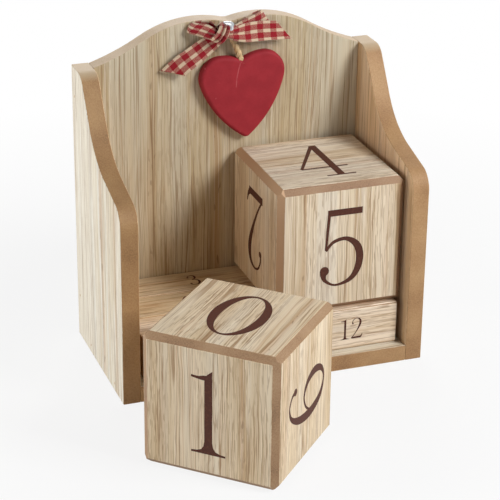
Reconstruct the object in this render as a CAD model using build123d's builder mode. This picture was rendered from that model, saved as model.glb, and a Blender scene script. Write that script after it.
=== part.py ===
"""Perpetual desk calendar: a veneered MDF case, two number cubes, three month bars and a hanging heart.

Millimetres. The origin is the middle of the case's footprint on the table, +X to the right,
+Y to the back and +Z up.
"""
import os
from math import asin, cos, degrees, radians, sin, sqrt

from build123d import *

os.makedirs("parts", exist_ok=True)

# Veneered board
veneer = 0.45
side_thickness = 8.2
back_thickness = 8.4
base_thickness = 7.7
edge_ease = 0.3

# Number cubes
cube_side = 62.0
cube_board = 6.0
cube_chamfer = 3.0
cube_play = 5.5
cube_gap = 0.6
cube_rest_gap = 0.2

# Loose cube on the table
loose_x = -35.9
loose_gap = 6.2
loose_turn = -43.5

# Month bars, side by side under the cubes
bar_side = 21.0
bar_core_chamfer = 0.25
bar_end_gap = 3.2
bar_gap = 0.15
front_lip = 4.8

# Curved outline of the case sides
front_rise = 1.4
knuckle_radius = 10.0
hollow_setback = 39.8
hollow_rise = 11.7
hollow_radius = 40.0
top_length = 15.9
shoulder_radius = 9.0

# Crest of the back panel
crest_rise = 17.8
crown_radius = 52.0
crown_offset = 14.5
crown_turn = 30.6
dip_radius = 7.0
dip_above_knot = 2.6

# Hanging heart
heart_thickness = 4.2
heart_clearance = 4.3
heart_drop = 38.7
lobe_rise = 2.8
lobe_offset = 10.5
lobe_radius = 10.35
lobe_turn = 16.0
heart_tip_radius = 2.5
heart_edge_radius = 1.8
heart_x = 5.0
heart_lean = 3.8
heart_gap = 0.6

# Twine that the heart hangs on
twine_diameter = 2.6
twine_run = 12.0
twine_lean = 20.0
twine_depth = 6.0
twine_fit = 0.1

# Ribbon bow and the glue behind it
ribbon_width = 10.0
ribbon_thickness = 0.5
ribbon_pinch = 5.6
pinch_length = 11.0
ribbon_bite = 0.8
knot_width = 6.8
knot_height = 6.4
knot_depth = 6.2
knot_corner = 1.6
knot_turn = 12.0
knot_left = 8.6
knot_above_pivot = 3.8
tail_gap = 0.6
tail_slant = 8.0
left_tail_down = 2.9
left_tail_length = 28.0
left_tail_heading = 215.7
left_tail_bulge = 1.2
right_tail_down = 1.3
right_tail_length = 33.3
right_tail_heading = 1.6
right_tail_bulge = 1.8
left_loop_up = 0.4
left_loop_length = 14.5
left_loop_heading = 164.0
left_loop_tilt = -58.0
left_loop_height = 5.2
right_loop_up = 2.6
right_loop_length = 18.8
right_loop_heading = 17.0
right_loop_tilt = 90.0
right_loop_height = 3.4
loop_root_height = 1.0
glue_radius = 4.6
glue_top_radius = 2.8
glue_right = 3.2
glue_down = 2.0

# Brads through the case, set below the face and filled over
brad_width = 1.1
brad_length = 20.0
brad_set = 1.0
brad_inset = 14.0

# Places worked out from the sizes above
inner_width = 2 * cube_side + cube_play
half_inner = inner_width / 2
half_outer = half_inner + side_thickness
bar_names = ("rear", "middle", "front")
bar_pitch = bar_side + bar_gap
case_depth = back_thickness + len(bar_names) * bar_pitch + bar_gap + front_lip
case_front = -case_depth / 2
case_rear = case_depth / 2
back_face = case_rear - back_thickness
bar_length = inner_width - 2 * bar_end_gap
cube_floor = base_thickness + bar_side + cube_rest_gap
cube_top = cube_floor + cube_side
square_corner = 90
mitre = square_corner / 2

notch_z = cube_top + heart_clearance + heart_drop
heart_rear = back_face - heart_gap
heart_front = heart_rear - heart_thickness
twine_y = (heart_front + heart_rear) / 2
pivot_x = heart_x - twine_run * sin(radians(twine_lean))
pivot_z = notch_z + twine_run * cos(radians(twine_lean))
knot_x = pivot_x - knot_left
knot_z = pivot_z + knot_above_pivot
knot_rear = heart_front - tail_gap
dip_z = knot_z + dip_above_knot
crown_z = dip_z - sqrt(crown_radius**2 - crown_offset**2)
side_height = crown_z + crown_radius - crest_rise

# Brads: into the ends of the base and the edges of the back, and through the back into the base
back_middle = case_rear - back_thickness / 2
base_middle = base_thickness / 2
side_brads = (
    (case_front + brad_inset, base_middle),
    (back_face - brad_inset, base_middle),
    (back_middle, base_thickness + brad_inset),
    (back_middle, side_height - brad_inset),
)
rear_brads = ((brad_inset - half_inner, base_middle), (half_inner - brad_inset, base_middle))


def finish(piece: BuildPart, name: str) -> None:
    """Label one finished piece and write it."""
    piece.part.label = name
    export_step(piece.part, f"parts/{name}.step")


def brad_bars(head_depth: float, length: float) -> BuildPart:
    """A square bar at every brad's place, starting head_depth below the face it was driven into."""
    middle = head_depth + length / 2
    with BuildPart() as bars:
        with Locations(*[(hand * (half_outer - middle), y, z) for hand in (-1, 1) for y, z in side_brads]):
            Box(length, brad_width, brad_width)
        with Locations(*[(x, case_rear - middle, z) for x, z in rear_brads]):
            Box(brad_width, length, brad_width)
    return bars


def board_layer(outline: BuildSketch, plane: Plane, thickness: float, eased: bool = False) -> BuildPart:
    """One layer of a board, cut to an outline and pierced by the brads; a face layer has eased edges."""
    with BuildPart() as layer:
        with BuildSketch(plane):
            add(outline.sketch_local)
        extrude(amount=thickness)
        if eased:
            along = Axis(plane.origin, plane.z_dir * thickness)
            chamfer(layer.faces().sort_by(along)[-1].edges(), edge_ease)
        add(brads.part, mode=Mode.SUBTRACT)
        add(brad_filler.part, mode=Mode.SUBTRACT)
    return layer


def cube_panel(frame: Plane) -> BuildPart:
    """One face board of a cube: chamfered in front, and mitred to its four neighbours behind."""
    widest = cube_side - cube_chamfer
    outwards = Axis(frame.origin, frame.z_dir)
    with BuildPart() as panel:
        with BuildSketch(frame.offset(cube_side / 2 - veneer - cube_board)):
            Rectangle(widest, widest)
        extrude(amount=cube_board)
        chamfer(panel.faces().sort_by(outwards)[-1].edges(), cube_chamfer / 2 - veneer)
        for sideways in (frame.x_dir, frame.y_dir, frame.x_dir * -1, frame.y_dir * -1):
            split(bisect_by=Plane(frame.origin, z_dir=frame.z_dir + sideways), keep=Keep.TOP)
    return panel


def cube_veneer(frame: Plane) -> BuildPart:
    """The veneer square on a face board, with the chamfer carried on through it."""
    glued_side = cube_side - 2 * cube_chamfer + 2 * veneer
    with BuildPart() as square:
        with BuildSketch(frame.offset(cube_side / 2 - veneer)):
            Rectangle(glued_side, glued_side)
        extrude(amount=veneer, taper=mitre)
    return square


def number_cube(name: str, middle: Vector, turn: float) -> None:
    """Six mitred panels with chamfered outer edges, and the veneer square on each."""
    ahead = Vector(0, -1, 0).rotate(Axis.Z, turn)
    aside = Vector(1, 0, 0).rotate(Axis.Z, turn)
    up = Vector(0, 0, 1)
    faces = {
        "front": Plane(middle, x_dir=aside, z_dir=ahead),
        "rear": Plane(middle, x_dir=aside * -1, z_dir=ahead * -1),
        "left": Plane(middle, x_dir=ahead, z_dir=aside * -1),
        "right": Plane(middle, x_dir=ahead * -1, z_dir=aside),
        "top": Plane(middle, x_dir=aside, z_dir=up),
        "bottom": Plane(middle, x_dir=aside, z_dir=up * -1),
    }
    for face, frame in faces.items():
        finish(cube_panel(frame), f"{name}_{face}_panel")
        finish(cube_veneer(frame), f"{name}_{face}_veneer")


def month_bar(name: str, y: float) -> None:
    """A square MDF bar with chamfered edges, and a veneer strip on each long face."""
    section = Plane((-bar_length / 2, y, base_thickness + bar_side / 2), x_dir=(0, 1, 0), z_dir=(1, 0, 0))
    core_side = bar_side - 2 * veneer
    strip_width = core_side - 2 * bar_core_chamfer
    with BuildPart() as core:
        with BuildSketch(section) as square:
            Rectangle(core_side, core_side)
            chamfer(square.vertices(), bar_core_chamfer)
        extrude(amount=bar_length)
    finish(core, f"{name}_month_bar")
    with BuildPart() as strips:
        with BuildSketch(section):
            with PolarLocations(core_side / 2, 4):
                Trapezoid(strip_width, veneer, mitre, rotation=-90, align=(Align.CENTER, Align.MIN))
        extrude(amount=bar_length)
    finish(strips, f"{name}_month_bar_veneers")


def ribbon_tail(root: tuple[float, float, float], heading: float, length: float, bulge: float) -> BuildPart:
    """A ribbon end that bows out from the panel, pinched at the knot and cut on the slant."""
    along = Vector(cos(radians(heading)), 0, sin(radians(heading)))
    across = Vector(-sin(radians(heading)), 0, cos(radians(heading)))
    half = ribbon_width / 2
    with BuildPart() as tail:
        with BuildSketch(Plane(root, x_dir=along, z_dir=across)):
            with BuildLine():
                ThreePointArc((0, 0), (length / 2, -bulge), (length, 0))
                offset(amount=ribbon_thickness, side=Side.RIGHT)
            make_face()
        extrude(amount=half, both=True)
        with BuildSketch(Plane(root, x_dir=along, z_dir=(0, -1, 0))):
            with BuildLine():
                Polyline(
                    (0, -ribbon_pinch / 2),
                    (pinch_length, -half),
                    (length, -half),
                    (length - tail_slant, half),
                    (pinch_length, half),
                    (0, ribbon_pinch / 2),
                    close=True,
                )
            make_face()
        extrude(amount=ribbon_width, both=True, mode=Mode.INTERSECT)
        add(knot.part, mode=Mode.SUBTRACT)
    return tail


def ribbon_loop(
    root: tuple[float, float, float], heading: float, tilt: float, length: float, height: float
) -> BuildPart:
    """A ribbon loop that leaves the knot along a heading, with its width leaning by tilt to the panel."""
    along = Vector(cos(radians(heading)), 0, sin(radians(heading)))
    beside = Vector(-sin(radians(heading)), 0, cos(radians(heading)))
    across = beside * cos(radians(tilt)) + Vector(0, sin(radians(tilt)), 0)
    half = ribbon_width / 2
    nose = height / 2
    root_half = loop_root_height / 2
    with BuildPart() as loop:
        with BuildSketch(Plane(root, x_dir=along, z_dir=across)):
            with BuildLine():
                Line((0, -root_half), (length - nose, -nose))
                ThreePointArc((length - nose, -nose), (length, 0), (length - nose, nose))
                Line((length - nose, nose), (0, root_half))
                offset(amount=ribbon_thickness, side=Side.LEFT)
            make_face()
        extrude(amount=half, both=True)
        with BuildSketch(Plane(root, x_dir=along, z_dir=across.cross(along))):
            with BuildLine():
                Polyline(
                    (0, -ribbon_pinch / 2),
                    (pinch_length, -half),
                    (length, -half),
                    (length, half),
                    (pinch_length, half),
                    (0, ribbon_pinch / 2),
                    close=True,
                )
            make_face()
        extrude(amount=height, both=True, mode=Mode.INTERSECT)
        add(knot.part, mode=Mode.SUBTRACT)
    return loop


brads = brad_bars(brad_set, brad_length)
brad_filler = brad_bars(0, brad_set)
finish(brads, "brads")
finish(brad_filler, "brad_filler")

# Case sides: a hollow curve sweeps from a rounded front knuckle up to the shoulder
with BuildSketch() as side_outline:
    with BuildLine():
        sweep_up = FilletPolyline(
            (case_front, 0),
            (case_front, cube_top + front_rise),
            (case_front + hollow_setback, cube_top + hollow_rise),
            (case_rear - top_length, side_height),
            (case_rear, side_height),
            radius=[knuckle_radius, hollow_radius, shoulder_radius],
        )
        Polyline(sweep_up @ 1, (case_rear, 0), sweep_up @ 0)
    make_face()

for hand, side in ((-1, "left"), (1, "right")):
    inner_glue = Plane.YZ.offset(hand * (half_inner + veneer))
    outer_glue = Plane.YZ.offset(hand * (half_outer - veneer))
    finish(board_layer(side_outline, inner_glue, hand * (side_thickness - 2 * veneer)), f"{side}_side")
    finish(board_layer(side_outline, inner_glue, -hand * veneer, eased=True), f"{side}_side_inner_veneer")
    finish(board_layer(side_outline, outer_glue, hand * veneer, eased=True), f"{side}_side_outer_veneer")

# Back panel: a crown each side of a shallow dip, easing down to the tops of the sides
with BuildSketch() as back_outline:
    with BuildLine():
        dip_turn = degrees(asin(crown_offset / crown_radius))
        crown = CenterArc((crown_offset, crown_z), crown_radius, 90 - crown_turn, crown_turn + dip_turn)
        TangentArc(crown @ 0, (half_inner, side_height), tangent=(crown % 0) * -1)
        Polyline((half_inner, side_height), (half_inner, 0), (0, 0))
        mirror(about=Plane.YZ)
    make_face()
    fillet(back_outline.vertices().sort_by_distance((0, dip_z, 0))[0], dip_radius)

front_glue = Plane.XZ.offset(-back_face - veneer)
rear_glue = Plane.XZ.offset(veneer - case_rear)
finish(board_layer(back_outline, rear_glue, back_thickness - 2 * veneer), "back_panel")
finish(board_layer(back_outline, front_glue, veneer, eased=True), "back_panel_front_veneer")
finish(board_layer(back_outline, rear_glue, -veneer, eased=True), "back_panel_rear_veneer")

# Base panel, between the sides and in front of the back
with BuildSketch() as base_outline:
    with Locations((0, (case_front + back_face) / 2)):
        Rectangle(inner_width, back_face - case_front)

under_glue = Plane.XY.offset(veneer)
top_glue = Plane.XY.offset(base_thickness - veneer)
finish(board_layer(base_outline, under_glue, base_thickness - 2 * veneer), "base_panel")
finish(board_layer(base_outline, top_glue, veneer, eased=True), "base_panel_top_veneer")
finish(board_layer(base_outline, under_glue, -veneer), "base_panel_underside_veneer")

# Month bars, from the back panel forwards
for place, bar in enumerate(bar_names):
    month_bar(bar, back_face - bar_gap - place * bar_pitch - bar_side / 2)

# Number cubes: one on the bars in the right bay, one on the table with a corner towards the case
half_cube = cube_side / 2
right_cube_x = half_inner - cube_gap - half_cube
number_cube("right_cube", Vector(right_cube_x, back_face - cube_gap - half_cube, cube_floor + half_cube), 0)
corner_reach = half_cube * (abs(sin(radians(loose_turn))) + cos(radians(loose_turn)))
number_cube("loose_cube", Vector(loose_x, case_front - loose_gap - corner_reach, half_cube), loose_turn)

# Twine, from its pivot under the bow down into the heart
down_twine = Vector(sin(radians(twine_lean)), 0, -cos(radians(twine_lean)))
twine_top = Plane((pivot_x, twine_y, pivot_z), x_dir=(0, 1, 0), z_dir=down_twine)
with BuildPart() as twine:
    with BuildSketch(twine_top):
        Circle(twine_diameter / 2)
    extrude(amount=twine_run + twine_depth)
    fillet(twine.edges().filter_by(GeomType.CIRCLE).sort_by(Axis.Z)[-1], twine_diameter / 4)
finish(twine, "hanger_twine")

# Heart, drilled at the notch for the twine
lean = radians(heart_lean)
heart_plane = Plane((heart_x, heart_rear, notch_z), x_dir=(cos(lean), 0, sin(lean)), z_dir=(0, -1, 0))
with BuildPart() as heart:
    with BuildSketch(heart_plane) as heart_outline:
        with BuildLine():
            lobe = CenterArc((lobe_offset, lobe_rise - lobe_radius), lobe_radius, -lobe_turn, 90 + lobe_turn)
            TangentArc(lobe @ 1, (0, 0), tangent=lobe % 1)
            TangentArc(lobe @ 0, (0, -heart_drop), tangent=(lobe % 0) * -1)
            mirror(about=Plane.YZ)
        make_face()
        fillet(heart_outline.vertices().sort_by(Axis.Y)[0], heart_tip_radius)
    extrude(amount=heart_thickness)
    front_face, rear_face = heart.faces().filter_by(Axis.Y).sort_by(Axis.Y)
    fillet(front_face.edges(), heart_edge_radius)
    chamfer(rear_face.edges(), edge_ease)
    with BuildSketch(twine_top):
        Circle(twine_diameter / 2 + twine_fit)
    extrude(amount=twine_run + twine_depth + twine_fit, mode=Mode.SUBTRACT)
finish(heart, "heart")

# Ribbon bow: a knot with two loops and two tails
knot_lean = radians(knot_turn)
knot_plane = Plane((knot_x, knot_rear, knot_z), x_dir=(cos(knot_lean), 0, sin(knot_lean)), z_dir=(0, -1, 0))
with BuildPart() as knot:
    with BuildSketch(knot_plane):
        RectangleRounded(knot_width, knot_height, knot_corner)
    extrude(amount=knot_depth)
    fillet(knot.faces().sort_by(Axis.Y)[0].edges(), knot_corner)
finish(knot, "bow_knot")

knot_left_side = knot_x - knot_width / 2 + ribbon_bite
knot_right_side = knot_x + knot_width / 2 - ribbon_bite
knot_middle = knot_rear - knot_depth / 2
tail_y = knot_rear - ribbon_thickness
left_tail = ribbon_tail(
    (knot_left_side, tail_y, knot_z - left_tail_down), left_tail_heading, left_tail_length, left_tail_bulge
)
finish(left_tail, "bow_left_tail")
right_tail = ribbon_tail(
    (knot_right_side, tail_y, knot_z - right_tail_down), right_tail_heading, right_tail_length, right_tail_bulge
)
finish(right_tail, "bow_right_tail")
left_loop = ribbon_loop(
    (knot_left_side, knot_middle, knot_z + left_loop_up),
    left_loop_heading,
    left_loop_tilt,
    left_loop_length,
    left_loop_height,
)
finish(left_loop, "bow_left_loop")
right_loop = ribbon_loop(
    (knot_right_side, knot_middle, knot_z + right_loop_up),
    right_loop_heading,
    right_loop_tilt,
    right_loop_length,
    right_loop_height,
)
finish(right_loop, "bow_right_loop")

# Glue dot that holds the bow and the twine to the panel
glue_x = knot_x + glue_right
glue_z = knot_z - glue_down
glue_height = back_face - knot_rear
with BuildPart() as glue:
    with BuildSketch(Plane((glue_x, back_face, glue_z), x_dir=(1, 0, 0), z_dir=(0, 0, -1))):
        with BuildLine():
            Polyline((0, 0), (glue_radius, 0), (glue_top_radius, glue_height), (0, glue_height), close=True)
        make_face()
    revolve(axis=Axis((glue_x, back_face, glue_z), (0, -1, 0)))
finish(glue, "glue_dot")
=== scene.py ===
"""Looks of the block desk calendar: its finishes, numerals, ribbon bow, glue and twine, and the studio.

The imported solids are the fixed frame. Every one of them gets a finish here. The bow, the glue and the
twine are modelled as cloth, melted glue and twisted fibre, and stand in for their plain solids.
Lengths in the classes are millimetres, and MM turns them into metres.
"""

import logging
import math
from dataclasses import dataclass, field, fields, replace
from enum import Enum
from functools import lru_cache, partial, reduce
from typing import Any, Iterable, Sequence

import bmesh
import bpy
import numpy as np
from mathutils import Matrix, Vector
from mathutils.geometry import delaunay_2d_cdt


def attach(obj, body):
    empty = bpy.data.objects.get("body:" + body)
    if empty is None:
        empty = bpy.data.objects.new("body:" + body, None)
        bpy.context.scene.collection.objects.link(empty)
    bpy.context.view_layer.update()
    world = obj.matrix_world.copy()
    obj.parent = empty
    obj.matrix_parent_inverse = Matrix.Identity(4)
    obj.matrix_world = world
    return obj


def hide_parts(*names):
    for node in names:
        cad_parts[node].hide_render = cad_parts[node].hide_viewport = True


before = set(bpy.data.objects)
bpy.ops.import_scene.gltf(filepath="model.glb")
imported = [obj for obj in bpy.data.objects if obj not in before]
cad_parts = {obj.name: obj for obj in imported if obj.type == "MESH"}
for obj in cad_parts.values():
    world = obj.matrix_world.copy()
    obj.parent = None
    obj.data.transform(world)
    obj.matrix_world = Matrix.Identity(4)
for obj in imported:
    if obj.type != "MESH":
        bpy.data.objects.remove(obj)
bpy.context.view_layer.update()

log = logging.getLogger("desk_calendar")
MM = 0.001
Colour = tuple[float, float, float]
Point = tuple[float, float, float]


def srgb(red: int, green: int, blue: int) -> Colour:
    """Turns a colour written 0 to 255 into the linear colour that shaders take.

    Args:
        red: Red as written.
        green: Green as written.
        blue: Blue as written.

    Returns:
        The linear colour.
    """
    def straight(value: int) -> float:
        """One channel, made linear."""
        part = value / 255
        return part / 12.92 if part <= 0.04045 else ((part + 0.055) / 1.055) ** 2.4

    return straight(red), straight(green), straight(blue)


class Slot(Enum):
    """The record's material slots for the soft pieces. Nothing in the script gives them to a piece."""

    JUTE = "jute"
    RIBBON = "ribbon"
    GLUE = "glue"


class Wiring:
    """A node tree, with short calls for its links and sums."""

    tree: bpy.types.NodeTree

    def feed(self, socket: bpy.types.NodeSocket, value: Any) -> None:
        """Links a socket to another one, or sets its own value.

        Args:
            socket: The socket to feed.
            value: Another socket, or a value of the socket's own kind.
        """
        if isinstance(value, bpy.types.NodeSocket):
            self.tree.links.new(value, socket)
        elif socket.type == "RGBA":
            socket.default_value = (*value[:3], 1.0)
        else:
            socket.default_value = value

    def math(self, operation: str, *values: Any) -> bpy.types.NodeSocket:
        """One sum of numbers or sockets.

        Args:
            operation: Which sum it is.
            *values: What goes into it.

        Returns:
            What comes out.
        """
        node = self.tree.nodes.new("ShaderNodeMath")
        node.operation = operation
        for socket, value in zip(node.inputs, values):
            self.feed(socket, value)
        return node.outputs[0]

    def plus(self, *values: Any) -> bpy.types.NodeSocket:
        """Two or more values added up."""
        return reduce(partial(self.math, "ADD"), values)

    def minus(self, first: Any, second: Any) -> bpy.types.NodeSocket:
        """The first value less the second."""
        return self.math("SUBTRACT", first, second)

    def times(self, *values: Any) -> bpy.types.NodeSocket:
        """Two or more values multiplied."""
        return reduce(partial(self.math, "MULTIPLY"), values)


class Shade(Wiring):
    """A material's node tree, with short calls for the nodes that the finishes share."""

    def __init__(self, name: str) -> None:
        """Starts an empty material with one principled surface.

        Args:
            name: The material's name.
        """
        self.material: bpy.types.Material = bpy.data.materials.new(name)
        self.material.use_nodes = True
        self.tree = self.material.node_tree
        self.tree.nodes.clear()
        self.surface = self.tree.nodes.new("ShaderNodeBsdfPrincipled")
        output = self.tree.nodes.new("ShaderNodeOutputMaterial")
        self.tree.links.new(self.surface.outputs["BSDF"], output.inputs["Surface"])

    def set(self, **values: Any) -> None:
        """Feeds the surface's sockets, named with underscores for blanks."""
        for name, value in values.items():
            self.feed(self.surface.inputs[name.replace("_", " ")], value)

    def place(self) -> bpy.types.NodeSocket:
        """The point on the piece, in the row frame."""
        return self.tree.nodes.new("ShaderNodeTexCoord").outputs["Object"]

    def cloth(self) -> bpy.types.NodeSocket:
        """Reads the point on the cloth.

        Returns:
            The point: across the cloth from 0 to 1, and along it in widths.
        """
        node = self.tree.nodes.new("ShaderNodeUVMap")
        node.uv_map = "cloth"
        return node.outputs["UV"]

    def attribute(self, name: str) -> bpy.types.NodeSocket:
        """Reads a number that the mesh keeps.

        Args:
            name: The name that the mesh keeps it under.

        Returns:
            The number.
        """
        node = self.tree.nodes.new("ShaderNodeAttribute")
        node.attribute_name = name
        return node.outputs["Fac"]

    def seated(self, place: Any, middle: Sequence[float], turn: Matrix) -> bpy.types.NodeSocket:
        """Reads a point in the frame of one face.

        Args:
            place: The point in the row frame.
            middle: The face's middle, in metres.
            turn: The face's directions as the columns of a rotation.

        Returns:
            The point across, along and out of the face.
        """
        node = self.tree.nodes.new("ShaderNodeMapping")
        node.vector_type = "TEXTURE"
        node.inputs["Location"].default_value = middle
        node.inputs["Rotation"].default_value = turn.to_euler()
        self.feed(node.inputs["Vector"], place)
        return node.outputs["Vector"]

    def split(self, vector: bpy.types.NodeSocket) -> tuple[bpy.types.NodeSocket, ...]:
        """Takes a vector apart.

        Args:
            vector: The vector.

        Returns:
            Its three parts.
        """
        node = self.tree.nodes.new("ShaderNodeSeparateXYZ")
        self.feed(node.inputs[0], vector)
        return tuple(node.outputs)

    def join(self, x: Any, y: Any, z: Any) -> bpy.types.NodeSocket:
        """Puts a vector together.

        Args:
            x: Its first part.
            y: Its second part.
            z: Its third part.

        Returns:
            The vector.
        """
        node = self.tree.nodes.new("ShaderNodeCombineXYZ")
        for socket, value in zip(node.inputs, (x, y, z)):
            self.feed(socket, value)
        return node.outputs[0]

    def noise(self, place: Any, scale: float, detail: float, seed: float) -> bpy.types.NodeSocket:
        """Smooth noise around 0.5.

        Args:
            place: Where it is read.
            scale: How fine it is.
            detail: How many finer layers it has.
            seed: Which of its variants this is.

        Returns:
            The noise, about 0.2 to 0.8.
        """
        node = self.tree.nodes.new("ShaderNodeTexNoise")
        node.noise_dimensions = "4D"
        self.feed(node.inputs["Vector"], place)
        node.inputs["W"].default_value = seed
        node.inputs["Scale"].default_value = scale
        node.inputs["Detail"].default_value = detail
        return node.outputs[0]

    def step(self, value: Any, low: float, high: float) -> bpy.types.NodeSocket:
        """A soft step from 0 to 1.

        Args:
            value: The number that it follows.
            low: Where it starts to rise.
            high: Where it reaches 1.

        Returns:
            The step.
        """
        node = self.tree.nodes.new("ShaderNodeMapRange")
        node.interpolation_type = "SMOOTHSTEP"
        self.feed(node.inputs["Value"], value)
        node.inputs["From Min"].default_value = low
        node.inputs["From Max"].default_value = high
        return node.outputs[0]

    def fall(self, value: Any, low: float, high: float) -> bpy.types.NodeSocket:
        """A soft step from 1 at low to 0 at high."""
        return self.minus(1.0, self.step(value, low, high))

    def ramp(self, value: Any, *stops: tuple[float, Colour]) -> bpy.types.NodeSocket:
        """Colours along a number.

        Args:
            value: The number.
            *stops: Numbers in rising order, each with its colour.

        Returns:
            The colour.
        """
        node = self.tree.nodes.new("ShaderNodeValToRGB")
        points = node.color_ramp.elements
        while len(points) < len(stops):
            points.new(0.5)
        for point, (at, colour) in zip(points, stops):
            point.position, point.color = at, (*colour, 1.0)
        self.feed(node.inputs["Fac"], value)
        return node.outputs["Color"]

    def mix(self, share: Any, first: Any, second: Any) -> bpy.types.NodeSocket:
        """Two colours mixed.

        Args:
            share: The second colour's share.
            first: The first colour.
            second: The second colour.

        Returns:
            The mixed colour.
        """
        node = self.tree.nodes.new("ShaderNodeMix")
        node.data_type = "RGBA"
        # The colours' sockets come after those for numbers and vectors.
        self.feed(node.inputs[0], share)
        self.feed(node.inputs[6], first)
        self.feed(node.inputs[7], second)
        return node.outputs[2]

    def bump(self, height: bpy.types.NodeSocket, depth: float, strength: float = 1.0) -> None:
        """Raises the surface by a height from 0 to 1.

        Args:
            height: The height.
            depth: What 1 stands for, in metres.
            strength: The share of it that shows.
        """
        node = self.tree.nodes.new("ShaderNodeBump")
        node.inputs["Distance"].default_value = depth
        node.inputs["Strength"].default_value = strength
        self.feed(node.inputs["Height"], height)
        self.feed(self.surface.inputs["Normal"], node.outputs["Normal"])


@dataclass(frozen=True)
class BoardFinish:
    """Sanded MDF edge: a fine felt of brown fibres, a little darker in patches.

    It can carry painted light: a paler colour, laid along one axis from the first place to the second, in
    mm, as a painted highlight where light falls on the edge.
    """

    pale: Colour = srgb(188, 152, 108)
    brown: Colour = srgb(166, 127, 86)
    dark: Colour = srgb(132, 96, 62)
    # Painted light: the highlight's colour, then the axis and the span in mm over which it is laid.
    rubbed: Colour = srgb(224, 204, 172)
    worn: tuple[int, float, float] | None = None

    def tint(self, shade: Shade, place: Any, seed: float) -> bpy.types.NodeSocket:
        """The colour of the fibres at a place.

        Args:
            shade: The material's nodes.
            place: Where it is read.
            seed: Which of its variants this is.

        Returns:
            The colour.
        """
        felt = shade.noise(place, 1700, 3, seed)
        patch = shade.noise(place, 60, 2, seed + 3)
        tone = shade.plus(shade.times(felt, 0.45), shade.times(patch, 0.55))
        colour = shade.ramp(tone, (0.28, self.dark), (0.46, self.brown), (0.68, self.pale))
        if self.worn is None:
            return colour
        # Painted light: a painted highlight, paler where light falls on this part of the edge.
        axis, start, full = self.worn
        near = shade.step(shade.split(place)[axis], start * MM, full * MM)
        return shade.mix(shade.times(near, 0.65), colour, self.rubbed)

    def material(self, name: str, seed: float) -> bpy.types.Material:
        """Makes the finish.

        Args:
            name: The material's name.
            seed: Which of its variants this is.

        Returns:
            The material.
        """
        shade = Shade(name)
        place = shade.place()
        felt = shade.noise(place, 2600, 2, seed + 7)
        shade.set(Base_Color=self.tint(shade, place, seed), Roughness=shade.step(felt, -0.9, 1.4))
        shade.bump(felt, 0.00012, 0.5)
        return shade.material


@dataclass(frozen=True)
class Grain:
    """How a veneer lies: the middle of its face, the way across the grain and the way along it."""

    middle: Point
    across: Point
    along: Point

    def turn(self) -> Matrix:
        """The directions across, along and out of the veneer, as columns."""
        across, along = Vector(self.across).normalized(), Vector(self.along).normalized()
        return Matrix((across, along, across.cross(along))).transposed()


class Cut(Enum):
    """How a leaf was cut: the strength of its pores, dark veins, pale veins, stripes and silvery bands.

    The last number is how far the grain wanders, in metres.
    """

    STRAIGHT = (0.2, 0.78, 0.75, 0.5, 0.5, 0.0004)
    PORED = (0.45, 0.78, 0.5, 0.55, 0.4, 0.0011)


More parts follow.
